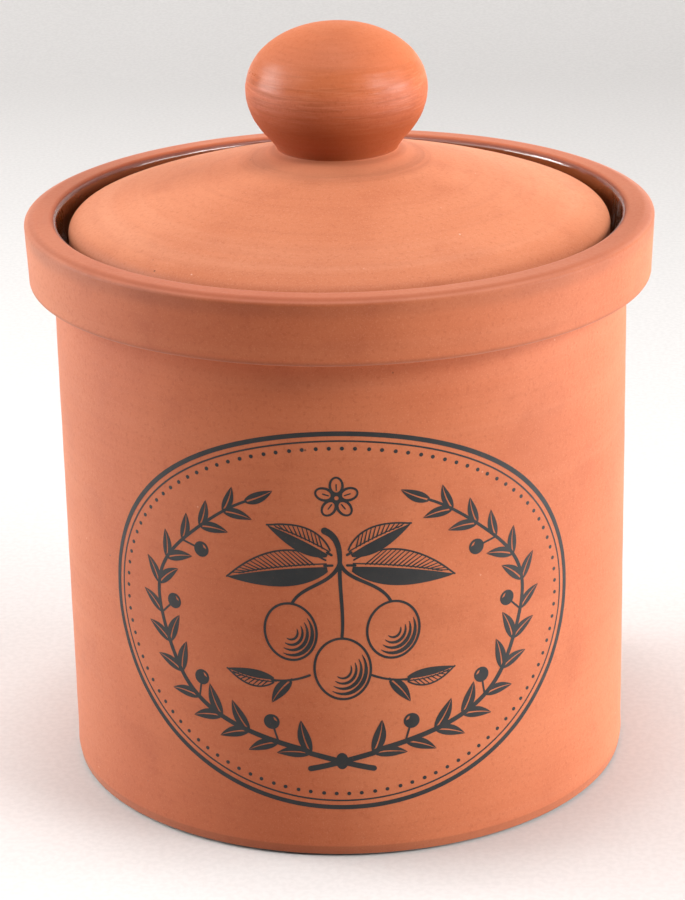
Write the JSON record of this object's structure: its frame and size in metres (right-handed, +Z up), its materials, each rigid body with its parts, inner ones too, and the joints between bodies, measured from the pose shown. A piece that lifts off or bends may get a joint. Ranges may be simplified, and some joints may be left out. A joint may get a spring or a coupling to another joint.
{
  "type": "preserve jar",
  "caption": "Cylindrical unglazed terracotta jar with a thick collar, a recessed domed lid with a ball knob, a glazed inside and a dark fired print on the front.",
  "frame": {"origin": "centre of the foot, on the surface the jar stands on", "axes": "+Z up along the jar's axis, -Y out of the printed front, +X to the right seen from the front"},
  "size_m": [0.1072, 0.1072, 0.1298],
  "materials": {
    "terracotta": "matt unglazed fired terracotta with fine turning lines",
    "terracotta_lid": "matt unglazed fired terracotta, slightly paler than the body",
    "terracotta_knob": "matt unglazed fired terracotta with marked turning streaks",
    "brown_glaze": "glossy honey brown transparent glaze over red clay",
    "fired_print": "matt charcoal print fired onto the clay"
  },
  "bodies": {
    "jar": {"jar_body": "terracotta", "jar_glaze_lining": "brown_glaze", "front_print": "fired_print"},
    "lid": {"lid_dome": "terracotta_lid", "lid_glaze": "brown_glaze", "lid_knob": "terracotta_knob", "knob_slip_ring": "terracotta_lid"}
  },
  "joints": [
    {"name": "lid_lift", "type": "slide", "parent": "jar", "child": "lid", "axis": [0, 0, 1], "range_m": [0, 0.045]}
  ]
}
